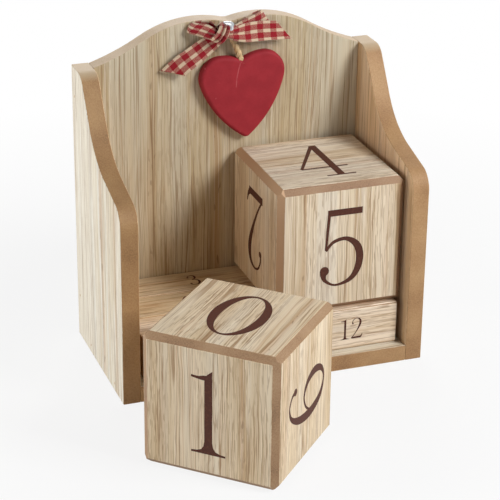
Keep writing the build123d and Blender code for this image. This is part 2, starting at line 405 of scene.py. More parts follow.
@dataclass(frozen=True)
class VeneerFinish:
    """Pale, matt veneer: short brown pores, thin veins and a few warm stripes along the straight grain."""

    cream: Colour = srgb(228, 213, 186)
    straw: Colour = srgb(214, 195, 162)
    tan: Colour = srgb(192, 165, 126)
    stripe: Colour = srgb(184, 142, 98)
    pore: Colour = srgb(142, 107, 69)
    vein: Colour = srgb(150, 116, 78)
    light: Colour = srgb(240, 230, 210)
    silver: Colour = srgb(224, 217, 200)
    cut: Cut = Cut.PORED

    def toned(self, red: float, green: float, blue: float) -> "VeneerFinish":
        """A leaf of the same cut in other tones.

        Args:
            red: The share of every colour's red that is kept.
            green: The same for green.
            blue: The same for blue.

        Returns:
            The finish of that leaf.
        """
        colours = {}
        for tint in fields(self):
            if tint.name != "cut":
                parts = zip(getattr(self, tint.name), (red, green, blue))
                colours[tint.name] = tuple(min(part * share, 1.0) for part, share in parts)
        return replace(self, **colours)

    def material(self, name: str, grain: Grain, seed: float,
                 board: BoardFinish | None = None) -> bpy.types.Material:
        """Makes the finish.

        Args:
            name: The material's name.
            grain: How the veneer lies.
            seed: Which leaf of veneer this is.
            board: The board under it, whose colour the leaf's sanded edge has.

        Returns:
            The material.
        """
        shade = Shade(name)
        place = shade.place()
        across, along, out = shade.split(shade.seated(place, grain.middle, grain.turn()))

        def sway(fine: float, long: float, most: float, shift: float) -> bpy.types.NodeSocket:
            """A sideways wander of the grain, in metres."""
            spot = shade.join(shade.times(across, fine), shade.times(along, long), 0.0)
            return shade.times(shade.noise(spot, 1, 2, seed + shift), most)

        pored, veined, lit, striped, silvered, wander = self.cut.value
        line = shade.plus(across, sway(22, 9, 0.007, 1), sway(240, 75, wander, 2))

        def streaks(fine: float, long: float, detail: float, shift: float) -> bpy.types.NodeSocket:
            """Noise drawn out along the grain."""
            spot = shade.join(shade.times(line, fine), shade.times(along, long), shade.times(out, fine))
            return shade.noise(spot, 1, detail, seed + shift)

        def overlay(below: Any, share: Any, most: float, tint: Colour) -> bpy.types.NodeSocket:
            """A colour laid over another by a share of at most that much."""
            return shade.mix(shade.times(share, most), below, tint)

        broad, middle, fine = streaks(75, 2.0, 2, 0), streaks(430, 9, 2, 5), streaks(1700, 34, 2, 9)
        tone = shade.plus(shade.times(broad, 0.52), shade.times(middle, 0.28), shade.times(fine, 0.2))
        colour = shade.ramp(tone, (0.34, self.tan), (0.44, self.straw), (0.55, self.cream))
        stripe = shade.step(streaks(135, 1.5, 1, 13), 0.59, 0.7)
        colour = overlay(colour, stripe, striped, self.stripe)
        colour = overlay(colour, shade.step(streaks(105, 1.2, 1, 61), 0.5, 0.62), silvered, self.silver)
        # Each kind of thread: its colour, how dense, how wavy, half its width, its strength and its seed.
        threads = ((self.light, 430, 5, 0.05, lit, 29),
                   (self.stripe, 210, 2, 0.02, striped, 59),
                   (self.vein, 330, 5, 0.026, veined, 37),
                   (self.vein, 820, 7, 0.042, veined - 0.1, 43),
                   (self.vein, 1500, 9, 0.07, veined - 0.3, 47))
        for tint, dense, long, half, most, shift in threads:
            off = shade.math("ABSOLUTE", shade.minus(streaks(dense, long, 0, shift), 0.5))
            fades = shade.step(streaks(dense * 0.4, long * 3, 1, shift + 3), 0.4, 0.62)
            colour = overlay(colour, shade.times(shade.fall(off, half * 0.25, half), fades), most, tint)
        crowd = shade.step(streaks(60, 4, 1, 17), 0.3, 0.6)
        pores = shade.times(shade.step(streaks(1350, 120, 1, 21), 0.55, 0.61), crowd)
        colour = overlay(colour, pores, pored, self.pore)
        fleck = shade.times(shade.step(streaks(800, 190, 0, 53), 0.68, 0.76), stripe)
        colour = overlay(colour, fleck, 0.6, tuple(c * 0.6 for c in self.pore))
        if board is not None:
            ragged = shade.minus(out, shade.times(shade.noise(place, 700, 1, seed), 0.0002))
            whole = shade.step(ragged, -0.0003, -0.0002)
            colour = shade.mix(whole, board.tint(shade, place, seed), colour)
        shade.set(Base_Color=colour, Roughness=shade.step(fine, -0.7, 1.5), Specular_IOR_Level=0.35)
        shade.bump(shade.minus(fine, pores), 0.00005, 0.6)
        return shade.material


class Finish:
    """A finish that is the same for every piece that has it. Each kind lays its own nodes."""

    def lay(self, shade: Shade) -> None:
        """Lays the nodes of the finish.

        Args:
            shade: The material's nodes.
        """
        raise NotImplementedError

    def material(self, name: str) -> bpy.types.Material:
        """Makes the finish.

        Args:
            name: The material's name.

        Returns:
            The material.
        """
        shade = Shade(name)
        self.lay(shade)
        return shade.material


@dataclass(frozen=True)
class PaintFinish(Finish):
    """Deep red satin paint on MDF, rolled on, with one pale scratch below the notch and small specks."""

    red: Colour = srgb(157, 41, 50)
    deep: Colour = srgb(147, 36, 45)
    scratch: Colour = srgb(188, 96, 100)
    foot: Point = (2.0, 25.2, 121.0)
    bend: float = 0.0143
    length: float = 12.2
    width: float = 0.34

    def lay(self, shade: Shade) -> None:
        """Lays the nodes of the finish.

        Args:
            shade: The material's nodes.
        """
        place = shade.place()
        x, y, z = shade.split(place)
        mottle = shade.noise(place, 160, 3, 2)
        peel = shade.noise(place, 1300, 2, 4)
        colour = shade.mix(shade.step(mottle, 0.36, 0.66), self.deep, self.red)
        up = shade.minus(shade.times(z, 1 / MM), self.foot[2])
        mark = shade.plus(shade.times(up, up, self.bend), self.foot[0])
        off = shade.math("ABSOLUTE", shade.minus(shade.times(x, 1 / MM), mark))
        line = shade.fall(off, self.width * 0.4, self.width)
        ends = shade.times(shade.step(up, -0.6, 1.5), shade.fall(up, self.length - 1, self.length))
        front = shade.fall(y, (self.foot[1] + 0.3) * MM, (self.foot[1] + 0.8) * MM)
        broken = shade.step(shade.noise(place, 700, 1, 8), 0.25, 0.5)
        worn = shade.times(line, ends, front, broken)
        speck = shade.step(shade.noise(place, 560, 0, 12), 0.8, 0.83)
        bare = shade.math("MAXIMUM", shade.times(worn, 0.55), shade.times(speck, 0.4))
        colour = shade.mix(bare, colour, self.scratch)
        shade.set(Base_Color=colour, Roughness=shade.step(peel, -1.7, 1.7), Specular_IOR_Level=0.25)
        shade.bump(shade.minus(peel, worn), 0.00004, 0.5)


@dataclass(frozen=True)
class RibbonFinish(Finish):
    """Woven gingham ribbon: two red rows, cream middle and cream selvedges, red picks at even steps."""

    red: Colour = srgb(146, 22, 36)
    cream: Colour = srgb(209, 187, 160)
    soil: Colour = srgb(120, 74, 56)
    width: float = 10.0
    row_from: float = 0.85
    row_to: float = 3.6
    repeat: float = 6.8
    filled: float = 0.48
    thread: float = 0.34

    def lay(self, shade: Shade) -> None:
        """Lays the nodes of the finish.

        Args:
            shade: The material's nodes.
        """
        u, v, _ = shade.split(shade.cloth())
        across, along = shade.times(u, self.width), shade.times(v, self.width)
        from_middle = shade.math("ABSOLUTE", shade.minus(across, self.width / 2))
        soft, sharp = 0.05, 0.015
        warp = shade.times(shade.step(from_middle, self.row_from - soft, self.row_from + soft),
                           shade.fall(from_middle, self.row_to - soft, self.row_to + soft))
        phase = shade.math("FRACT", shade.math("DIVIDE", along, self.repeat))
        weft = shade.times(shade.step(phase, 0.0, sharp),
                           shade.fall(phase, self.filled - sharp, self.filled))
        waves = [shade.math("SINE", shade.times(way, math.pi / self.thread)) for way in (across, along)]
        over = shade.times(*waves)
        red = shade.math("MAXIMUM", shade.times(warp, shade.step(over, -0.6, -0.3)),
                         shade.times(weft, shade.fall(over, 0.15, 0.4)))
        fleck = shade.noise(shade.join(shade.times(across, 2.4), shade.times(along, 2.4), 0.0), 1, 2, 3)
        colour = shade.mix(red, self.cream, self.red)
        colour = shade.mix(shade.times(shade.step(fleck, 0.45, 0.8), 0.28), colour, self.soil)
        relief = shade.plus(shade.times(shade.math("ABSOLUTE", over), 0.5), 0.5)
        shade.set(Base_Color=colour, Roughness=shade.step(fleck, -1.6, 1.0), Specular_IOR_Level=0.2,
                  Sheen_Weight=0.15, Sheen_Roughness=0.5)
        shade.bump(relief, 0.00008, 0.7)


@dataclass(frozen=True)
class JuteFinish(Finish):
    """Twisted natural fibre: straw-coloured strands with darker hairs along each ply."""

    pale: Colour = srgb(232, 208, 170)
    straw: Colour = srgb(208, 178, 134)
    dark: Colour = srgb(152, 120, 82)

    def lay(self, shade: Shade) -> None:
        """Lays the nodes of the finish.

        Args:
            shade: The material's nodes.
        """
        along, around = shade.attribute("along"), shade.attribute("around")
        spot = shade.join(shade.times(around, 14), shade.times(along, 420), 0.0)
        hair = shade.noise(spot, 1, 3, 1)
        shade.set(Base_Color=shade.ramp(hair, (0.32, self.dark), (0.48, self.straw), (0.64, self.pale)),
                  Roughness=shade.step(hair, -1.8, 0.9), Specular_IOR_Level=0.2)
        shade.bump(hair, 0.0001, 0.8)


@dataclass(frozen=True)
class GlueFinish(Finish):
    """Hot-melt glue: milky and half clear, smooth, with cloudy streaks."""

    milk: Colour = srgb(228, 232, 235)
    cloud: Colour = srgb(178, 187, 193)

    def lay(self, shade: Shade) -> None:
        """Lays the nodes of the finish.

        Args:
            shade: The material's nodes.
        """
        cloud = shade.noise(shade.place(), 520, 3, 6)
        shade.set(Base_Color=shade.mix(shade.step(cloud, 0.36, 0.64), self.cloud, self.milk),
                  Roughness=shade.step(cloud, -0.2, 3.2), Transmission_Weight=0.2, IOR=1.48)
        shade.bump(cloud, 0.0002, 0.5)


@dataclass(frozen=True)
class InkFinish(Finish):
    """Dark red-brown printing ink, thin enough that the grain shows a little."""

    ink: Colour = srgb(78, 44, 34)
    worn: Colour = srgb(94, 57, 43)

    def lay(self, shade: Shade) -> None:
        """Lays the nodes of the finish.

        Args:
            shade: The material's nodes.
        """
        cover = shade.noise(shade.place(), 900, 3, 5)
        shade.set(Base_Color=shade.mix(shade.step(cover, 0.46, 0.72), self.ink, self.worn),
                  Roughness=shade.step(cover, -1.0, 1.5), Specular_IOR_Level=0.2)
        shade.bump(cover, 0.00002, 0.5)


@dataclass(frozen=True)
class SteelFinish(Finish):
    """Bright drawn wire of the brads, with fine lines round it."""

    steel: Colour = srgb(176, 176, 180)
    dull: Colour = srgb(140, 138, 136)

    def lay(self, shade: Shade) -> None:
        """Lays the nodes of the finish.

        Args:
            shade: The material's nodes.
        """
        drawn = shade.noise(shade.place(), 1500, 2, 3)
        shade.set(Base_Color=shade.mix(drawn, self.dull, self.steel), Metallic=1.0,
                  Roughness=shade.step(drawn, -0.6, 1.8))
        shade.bump(drawn, 0.00002, 0.4)


@dataclass(frozen=True)
class FillerFinish(Finish):
    """Wood filler sanded flush over the brads, a little darker than the veneer round it."""

    pale: Colour = srgb(206, 178, 136)
    dark: Colour = srgb(182, 148, 106)

    def lay(self, shade: Shade) -> None:
        """Lays the nodes of the finish.

        Args:
            shade: The material's nodes.
        """
        grit = shade.noise(shade.place(), 2400, 2, 9)
        shade.set(Base_Color=shade.mix(shade.step(grit, 0.3, 0.7), self.dark, self.pale),
                  Roughness=shade.step(grit, -1.2, 1.3))
        shade.bump(grit, 0.00006, 0.5)


def coat(node: str, material: bpy.types.Material) -> None:
    """Gives a CAD node its finish.

    Args:
        node: The node's name.
        material: Its finish.
    """
    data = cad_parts[node].data
    data.materials.clear()
    data.materials.append(material)


def new_piece(name: str, vertices: Sequence[Sequence[float]], faces: Sequence[Sequence[int]],
              material: bpy.types.Material, smooth: bool = False) -> bpy.types.Object:
    """Makes a mesh object at the origin, with its place in its vertices.

    Args:
        name: The piece's name.
        vertices: Its points, in metres.
        faces: Its faces, as point numbers.
        material: Its finish.
        smooth: Whether it is shaded smooth.

    Returns:
        The object, linked into the scene.
    """
    mesh = bpy.data.meshes.new(name)
    mesh.from_pydata([tuple(v) for v in vertices], [], [tuple(f) for f in faces])
    mesh.materials.append(material)
    mesh.polygons.foreach_set("use_smooth", [smooth] * len(mesh.polygons))
    mesh.update()
    piece = bpy.data.objects.new(name, mesh)
    bpy.context.scene.collection.objects.link(piece)
    return piece


def bake_modifiers(piece: bpy.types.Object) -> bpy.types.Object:
    """Turns an object and its modifiers into a plain mesh object of the same name.

    Args:
        piece: The object with its modifiers.

    Returns:
        The plain mesh object, at the origin.
    """
    bpy.context.view_layer.update()
    graph = bpy.context.evaluated_depsgraph_get()
    mesh = bpy.data.meshes.new_from_object(piece.evaluated_get(graph), depsgraph=graph)
    name, data = piece.name, piece.data
    bpy.data.objects.remove(piece)
    if data.users == 0 and isinstance(data, bpy.types.Mesh):
        bpy.data.meshes.remove(data)
    plain = bpy.data.objects.new(name, mesh)
    mesh.name = name
    bpy.context.scene.collection.objects.link(plain)
    return plain


def through(points: Sequence[Sequence[float]], steps: int, closed: bool = False) -> list[list[float]]:
    """Runs a smooth line through points of any number of values.

    Args:
        points: The points.
        steps: How many steps lie between two of them.
        closed: Whether the line runs back to its start.

    Returns:
        The points of the line.
    """
    count = len(points)
    line: list[list[float]] = []
    for i in range(count if closed else count - 1):
        if closed:
            four = [points[(i + k) % count] for k in (-1, 0, 1, 2)]
        else:
            four = [points[max(i - 1, 0)], points[i], points[i + 1], points[min(i + 2, count - 1)]]
        for s in range(steps):
            t = s / steps
            line.append([0.5 * (2 * b + (c - a) * t + (2 * a - 5 * b + 4 * c - d) * t * t
                                + (3 * b - a - 3 * c + d) * t ** 3) for a, b, c, d in zip(*four)])
    if not closed:
        line.append(list(points[-1]))
    return line


@dataclass(frozen=True)
class PenStroke:
    """One stroke of a numeral: places across and up, and its thickness there, in numeral heights."""

    points: tuple[Point, ...]
    straight: bool = False
    closed: bool = False

    def ribs(self) -> list[tuple[Vector, Vector]]:
        """Finds the two edges of the stroke.

        Returns:
            A place on either edge, for each point along the stroke.
        """
        line = [list(p) for p in self.points] if self.straight else through(self.points, 8, self.closed)
        count = len(line)
        ribs = []
        for i, (x, y, thick) in enumerate(line):
            before = line[(i - 1) % count] if self.closed else line[max(i - 1, 0)]
            after = line[(i + 1) % count] if self.closed else line[min(i + 1, count - 1)]
            way = Vector((after[0] - before[0], after[1] - before[1])).normalized()
            side = Vector((-way.y, way.x)) * thick / 2
            ribs.append((Vector((x, y)) + side, Vector((x, y)) - side))
        return ribs + ribs[:1] if self.closed else ribs


def ring(x: float, y: float, wide: float, high: float, thin: float, thick: float,
         lean: float = 0.0) -> PenStroke:
    """A closed oval stroke, thick at its sides and thin at its top and foot.

    Args:
        x: Middle, across.
        y: Middle, up.
        wide: Half width to the stroke's middle.
        high: Half height to the stroke's middle.
        thin: Thickness at top and foot.
        thick: Thickness at the sides.
        lean: Turn of the thick parts, in degrees.

    Returns:
        The stroke.
    """
    points = []
    for k in range(16):
        angle = 2 * math.pi * k / 16
        swell = abs(math.cos(angle + math.radians(lean))) ** 1.6
        place = (x + wide * math.cos(angle), y + high * math.sin(angle))
        points.append((*place, thin + (thick - thin) * swell))
    return PenStroke(tuple(points), closed=True)


def bar(*points: Point) -> PenStroke:
    """A straight stroke through points."""
    return PenStroke(points, straight=True)


def ball(x: float, y: float, radius: float) -> PenStroke:
    """The round end of a stroke."""
    half = radius / 2
    return ring(x, y, half, half, radius, radius)


SIX = (
    PenStroke(((0.205, 0.83, 0.05), (0.17, 0.925, 0.034), (0.05, 0.98, 0.03), (-0.09, 0.91, 0.055),
               (-0.205, 0.68, 0.095), (-0.24, 0.38, 0.11), (-0.17, 0.12, 0.085), (0.0, 0.018, 0.036),
               (0.15, 0.09, 0.065), (0.215, 0.28, 0.095), (0.165, 0.48, 0.075), (0.03, 0.575, 0.04),
               (-0.11, 0.53, 0.03), (-0.2, 0.42, 0.026))),
    ball(0.2, 0.825, 0.042),
)
NUMERALS: dict[int, tuple[PenStroke, ...]] = {
    0: (ring(0.0, 0.5, 0.265, 0.485, 0.03, 0.115, 8),),
    1: (bar((0.0, 0.0, 0.4), (0.0, 0.022, 0.4), (0.0, 0.03, 0.26), (0.0, 0.05, 0.165), (0.0, 0.09, 0.112),
            (0.0, 0.15, 0.092), (0.0, 0.91, 0.092)),
        bar((0.0, 0.9, 0.092), (0.0155, 0.94, 0.061), (0.0325, 0.975, 0.027), (0.0455, 1.0, 0.001)),
        PenStroke(((-0.2, 0.911, 0.026), (-0.12, 0.903, 0.034), (-0.06, 0.907, 0.055),
                   (-0.015, 0.912, 0.056)))),
    2: (PenStroke(((-0.2, 0.735, 0.05), (-0.205, 0.83, 0.036), (-0.13, 0.945, 0.03), (0.0, 0.982, 0.032),
                   (0.125, 0.925, 0.07), (0.17, 0.79, 0.1), (0.135, 0.63, 0.088), (0.02, 0.4, 0.05),
                   (-0.11, 0.2, 0.036), (-0.235, 0.05, 0.034))),
        ball(-0.195, 0.74, 0.04), bar((-0.25, 0.045, 0.09), (0.21, 0.045, 0.09)),
        PenStroke(((0.17, 0.045, 0.09), (0.235, 0.11, 0.045), (0.265, 0.2, 0.026)))),
    3: (PenStroke(((-0.2, 0.8, 0.05), (-0.17, 0.9, 0.032), (-0.05, 0.978, 0.03), (0.09, 0.945, 0.065),
                   (0.145, 0.8, 0.095), (0.08, 0.63, 0.06), (-0.07, 0.55, 0.028))),
        PenStroke(((-0.07, 0.545, 0.028), (0.09, 0.52, 0.05), (0.205, 0.4, 0.095), (0.205, 0.22, 0.105),
                   (0.1, 0.06, 0.065), (-0.05, 0.018, 0.03), (-0.18, 0.06, 0.034), (-0.225, 0.16, 0.05))),
        ball(-0.19, 0.79, 0.05), ball(-0.205, 0.165, 0.052)),
    4: (bar((0.1, 0.01, 0.09), (0.1, 0.985, 0.09)), bar((0.085, 0.97, 0.05), (-0.3, 0.275, 0.036)),
        bar((-0.3, 0.275, 0.03), (0.28, 0.275, 0.03)), bar((-0.08, 0.014, 0.028), (0.28, 0.014, 0.028))),
    5: (bar((-0.187, 0.95, 0.08), (0.248, 0.95, 0.08)), bar((-0.167, 0.95, 0.04), (-0.2, 0.49, 0.03)),
        PenStroke(((-0.2, 0.478, 0.032), (-0.108, 0.582, 0.042), (0.048, 0.611, 0.05),
                   (0.178, 0.528, 0.083), (0.23, 0.384, 0.094), (0.204, 0.205, 0.084),
                   (0.106, 0.077, 0.056), (-0.07, 0.028, 0.027), (-0.194, 0.092, 0.042),
                   (-0.224, 0.165, 0.075), (-0.218, 0.215, 0.1))),
        ball(-0.212, 0.222, 0.058)),
    6: SIX,
    7: (bar((-0.24, 0.95, 0.088), (0.25, 0.95, 0.088)), bar((-0.24, 0.97, 0.045), (-0.265, 0.79, 0.026)),
        PenStroke(((0.225, 0.93, 0.04), (0.07, 0.58, 0.055), (-0.04, 0.28, 0.085), (-0.07, 0.01, 0.098)))),
    8: (ring(0.0, 0.755, 0.15, 0.215, 0.03, 0.085, -20), ring(0.0, 0.275, 0.2, 0.258, 0.032, 0.105, -20)),
    9: tuple(replace(s, points=tuple((-x, 0.998 - y, w) for x, y, w in s.points)) for s in SIX),
}


@dataclass
class NumberPrint:
    """Numerals printed on a body's faces, gathered into one thin mesh."""

    name: str
    body: str
    lift: float = 0.05
    sink: float = 0.02
    pitch: float = 0.56
    vertices: list[Vector] = field(default_factory=list)
    faces: list[tuple[int, ...]] = field(default_factory=list)

    @staticmethod
    @lru_cache(maxsize=None)
    def flat(digit: int) -> tuple[list[Vector], list[tuple[int, ...]]]:
        """Merges a numeral's strokes into one flat shape.

        Args:
            digit: The numeral.

        Returns:
            Its points and its triangles, in numeral heights.
        """
        points: list[Vector] = []
        corners: list[tuple[int, int, int]] = []
        for stroke in NUMERALS[digit]:
            ribs = stroke.ribs()
            for (a, b), (c, d) in zip(ribs, ribs[1:]):
                for three in ((a, b, d), (a, d, c)):
                    area = (three[1] - three[0]).cross(three[2] - three[0])
                    if abs(area) > 1e-7:
                        start = len(points)
                        points.extend(three if area > 0 else three[::-1])
                        corners.append((start, start + 1, start + 2))
        whole = delaunay_2d_cdt(points, [], corners, 0, 1e-5)
        flat = [Vector(v) for v in whole[0]]
        a, b, c = (np.array([points[three[k]] for three in corners]) for k in range(3))

        def inked(triangle: Sequence[int]) -> bool:
            """Tells the triangles of the strokes from those that fill the holes.

            Args:
                triangle: The numbers of its three points in the merged shape.

            Returns:
                Whether it lies in any stroke.
            """
            spot = np.array(sum((flat[i] for i in triangle), Vector((0, 0))) / 3)
            turns = [np.cross(q - p, spot - p) for p, q in ((a, b), (b, c), (c, a))]
            return bool(np.any(np.minimum.reduce(turns) > 0))

        return flat, [tuple(f) for f in whole[2] if inked(f)]

    def write(self, text: str, seat: Matrix, height: float) -> None:
        """Prints numerals on a face, centred on it.

        Args:
            text: The numerals.
            seat: The face's frame: across, up, outward and its middle.
            height: The numerals' height.
        """
        for place, mark in enumerate(text):
            points, triangles = self.flat(int(mark))
            shift = (place - (len(text) - 1) / 2) * self.pitch
            edges = dict.fromkeys(edge for tri in triangles for edge in zip(tri, tri[1:] + tri[:1]))
            start, count = len(self.vertices), len(points)
            for level in (self.lift, -self.sink):
                for point in points:
                    spot = Vector(((point.x + shift) * height, (point.y - 0.5) * height, level))
                    self.vertices.append(seat @ (spot * MM))
            for tri in triangles:
                self.faces.append(tuple(start + i for i in tri))
                self.faces.append(tuple(start + count + i for i in reversed(tri)))
            for a, b in edges:
                if (b, a) not in edges:
                    self.faces.append((start + b, start + a, start + count + a, start + count + b))

    def finish(self, ink: bpy.types.Material) -> bpy.types.Object:
        """Makes the print a piece of its body.

        Args:
            ink: The print's finish.

        Returns:
            The piece.
        """
        piece = new_piece(self.name, self.vertices, self.faces, ink)
        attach(piece, self.body)
        log.info("%s: %d faces", self.name, len(self.faces))
        return piece


class Side(Enum):
    """A face of a block: the way across it and the way up it, seen from outside."""

    FRONT = ((1, 0, 0), (0, 0, 1))
    REAR = ((-1, 0, 0), (0, 0, 1))
    LEFT = ((0, -1, 0), (0, 0, 1))
    RIGHT = ((0, 1, 0), (0, 0, 1))
    TOP = ((1, 0, 0), (0, 1, 0))
    BOTTOM = ((1, 0, 0), (0, -1, 0))

    def seat(self, middle: Vector, reach: float, turn: float = 0.0, spin: float = 0.0) -> Matrix:
        """The frame of this face on a block.

        Args:
            middle: The block's middle, in metres.
            reach: From the middle out to the face, in metres.
            turn: The block's turn about the vertical, in degrees.
            spin: The turn of what stands on the face, in degrees.

        Returns:
            A matrix whose columns are across, up, outward and the face's middle.
        """
        block = Matrix.Rotation(math.radians(turn), 3, "Z")
        across, up = (block @ Vector(way) for way in self.value)
        out = across.cross(up)
        spun = Matrix.Rotation(math.radians(spin), 3, out)
        across, up = spun @ across, spun @ up
        seat = Matrix((across, up, out)).transposed().to_4x4()
        seat.translation = middle + out * reach
        return seat


@dataclass
class NumberCube:
    """A hollow cube of mitred, veneered panels with a numeral on each face."""

    body: str
    middle: Point
    numerals: dict[Side, tuple[int, float]]
    crosswise: tuple[Side, ...] = ()
    turn: float = 0.0
    side: float = 62.0
    numeral_height: float = 39.0
    seed: float = 0.0

    def dress(self, veneer: VeneerFinish, board: BoardFinish) -> None:
        """Coats the panels and their veneers, each face with its own leaf.

        Args:
            veneer: The faces' finish.
            board: The chamfers' finish.
        """
        centre = Vector(self.middle) * MM
        core = board.material(f"{self.body}_board", self.seed)
        for k, side in enumerate(Side):
            stem = f"{self.body}_{side.name.lower()}"
            spin = 90.0 if side in self.crosswise else 0.0
            seat = side.seat(centre, self.side / 2 * MM, self.turn, spin)
            columns = seat.to_3x3().transposed()
            grain = Grain(tuple(seat.translation), tuple(columns[0]), tuple(columns[1]))
            leaf = veneer.material(f"{stem}_leaf", grain, self.seed + 31 * k, board)
            coat(f"{stem}_panel", core)
            coat(f"{stem}_veneer", leaf)
        log.info("%s: dressed", self.body)

    def print_numerals(self, ink: bpy.types.Material) -> None:
        """Prints the six numerals.

        Args:
            ink: The print's finish.
        """
        sheet = NumberPrint(f"{self.body}_numerals", self.body)
        for side, (digit, spin) in self.numerals.items():
            seat = side.seat(Vector(self.middle) * MM, self.side / 2 * MM, self.turn, spin)
            sheet.write(str(digit), seat, self.numeral_height)
        sheet.finish(ink)


@dataclass
class MonthBar:
    """A square bar with four veneered faces, which holds a month's number near both ends of each face."""

    body: str
    node: str
    middle: Point
    months: tuple[int, int, int, int]
    number_reach: float
    side: float = 21.0
    number_height: float = 10.5
    seed: float = 0.0

    def dress(self, veneer: VeneerFinish, board: BoardFinish) -> None:
        """Coats the bar and its veneers.

        Args:
            veneer: The faces' finish.
            board: The edges' and ends' finish.
        """
        grain = Grain(tuple(Vector(self.middle) * MM), (0, 0.72, 0.69), (1, 0, 0))
        coat(self.node, board.material(f"{self.body}_board", self.seed))
        coat(f"{self.node}_veneers", veneer.material(f"{self.body}_leaf", grain, self.seed))
        log.info("%s: dressed", self.body)

    def print_numbers(self, ink: bpy.types.Material) -> None:
        """Prints the months' numbers.

        Args:
            ink: The print's finish.
        """
        sheet = NumberPrint(f"{self.body}_numbers", self.body)
        for side, month in zip((Side.FRONT, Side.TOP, Side.REAR, Side.BOTTOM), self.months):
            for end in (-1, 1):
                spin = 180.0 if side is Side.REAR else 0.0
                middle = Vector((self.middle[0] + end * self.number_reach, *self.middle[1:])) * MM
                seat = side.seat(middle, self.side / 2 * MM, spin=spin)
                sheet.write(str(month), seat, self.number_height)
        sheet.finish(ink)


@dataclass
class Case:
    """The case: two curved sides, a crested back and a base, veneered MDF held by brads."""

    inner: float = 64.75
    outer: float = 72.95
    back_face: float = 30.0
    rear: float = 38.4
    floor: float = 7.7
    side_top: float = 136.3

    def dress(self, veneer: VeneerFinish, board: BoardFinish) -> None:
        """Coats the boards, their veneers, the brads and the filler.

        Args:
            veneer: The broad faces' finish.
            board: The sawn edges' finish.
        """
        # Painted light: the sides' edges turn paler over their top 4 mm, where light falls from above. The
        # left side's edge is a darker copy of the board: painted shade, for the partial shadow on it.
        right_edge = replace(board, worn=(2, self.side_top - 4, self.side_top))
        shaded_left_edge = replace(right_edge, pale=srgb(176, 140, 96), brown=srgb(154, 117, 77),
                            dark=srgb(120, 88, 56))
        crest = replace(board, pale=srgb(216, 194, 166), brown=srgb(202, 178, 148),
                        dark=srgb(178, 152, 122))
        boards = {"left_side": shaded_left_edge, "right_side": right_edge,
                  "back_panel": crest, "base_panel": board}
        for k, (name, edge) in enumerate(boards.items()):
            coat(name, edge.material(f"{name}_board", 40 + 11 * k))
        # The pale leaf is a whiter copy of the veneer: painted light, for the bright cool light on the outer
        # sides; the base's top has it too.
        pale, grey = veneer.toned(1.04, 1.12, 1.26), veneer.toned(0.78, 0.775, 0.74)
        warm = veneer.toned(1.12, 0.95, 0.81)
        up, back, right = (0, 0, 1), (0, 1, 0), (1, 0, 0)
        ahead, left = (0, -1, 0), (-1, 0, 0)
        leaves = [("left_side", "outer", pale, (-self.outer, 0, 0), ahead, up),
                  ("left_side", "inner", warm, (-self.inner, 0, 0), back, up),
                  ("right_side", "outer", pale, (self.outer, 0, 0), back, up),
                  ("right_side", "inner", warm, (self.inner, 0, 0), ahead, up),
                  ("back_panel", "front", grey, (0, self.back_face, 0), right, up),
                  ("back_panel", "rear", veneer, (0, self.rear, 0), left, up),
                  ("base_panel", "top", pale, (0, 0, self.floor), ahead, right),
                  ("base_panel", "underside", veneer, (0, 0, 0), back, right)]
        for k, (stem, face, leaf, middle, across, along) in enumerate(leaves):
            grain = Grain(tuple(Vector(middle) * MM), across, along)
            name = f"{stem}_{face}_veneer"
            coat(name, leaf.material(f"{name}_leaf", grain, 5.3 + 17 * k, boards[stem]))
        coat("brads", SteelFinish().material("brad_wire"))
        coat("brad_filler", FillerFinish().material("sanded_filler"))
        log.info("case: dressed")


